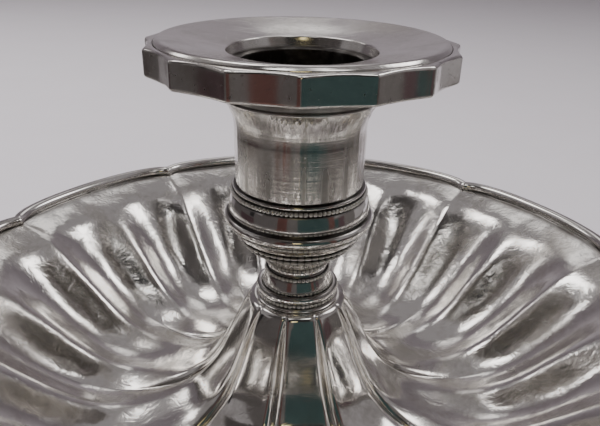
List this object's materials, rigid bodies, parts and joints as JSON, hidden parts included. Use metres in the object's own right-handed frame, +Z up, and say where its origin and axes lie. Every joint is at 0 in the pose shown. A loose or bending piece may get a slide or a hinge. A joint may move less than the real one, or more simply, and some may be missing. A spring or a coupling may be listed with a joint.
{
  "type": "dish candlestick",
  "caption": "Low silver candlestick: a lobed dish rising to a fluted cone, a short knopped stem with beaded rings, a candle socket and a loose shaped drip plate.",
  "frame": {"origin": "centre of the foot, on the surface that the candlestick stands on", "axes": "+Z up along the stem's axis; +Y to the back; the piece is round, so X and Y follow the lobes only"},
  "size_m": [0.1584, 0.1578, 0.0797],
  "materials": {
    "silver_dish": "hand-raised, polished, hammer marks and light tarnish",
    "silver_rim": "polished half-round wire, darkened at its foot",
    "silver_turned": "turned and polished, tarnish in the grooves",
    "silver_beaded": "milled beading, tarnish between the beads",
    "silver_socket": "polished with fine vertical and turning marks",
    "silver_nozzle": "polished, fine scratches, pitted hole",
    "steel_fastener": "dull turned steel"
  },
  "bodies": {
    "base": {"dish": "silver_dish", "rim_wire": "silver_rim", "foot_ring": "silver_rim", "stem_collar": "silver_turned", "foot_bead": "silver_beaded", "lower_knop": "silver_turned", "knop_bead_low": "silver_beaded", "knop_bead_high": "silver_beaded", "waist_bead": "silver_beaded", "upper_knop": "silver_turned", "taper_bead_low": "silver_beaded", "taper_bead_high": "silver_beaded", "bowl_bead_low": "silver_beaded", "knop_torus": "silver_turned", "bowl_bead_high": "silver_beaded", "coarse_bead": "silver_beaded", "neck_ring": "silver_turned", "socket_tube": "silver_socket", "socket_floor": "silver_socket", "tie_screw": "steel_fastener", "tie_washer": "steel_fastener", "tie_nut": "steel_fastener"},
    "nozzle": {"nozzle_band": "silver_nozzle", "nozzle_disc": "silver_nozzle", "nozzle_under_ring": "silver_nozzle", "nozzle_sleeve": "silver_nozzle"}
  },
  "joints": [
    {"name": "nozzle_lift", "type": "slide", "parent": "base", "child": "nozzle", "axis": [0, 0, 1], "range_m": [0, 0.015]}
  ]
}
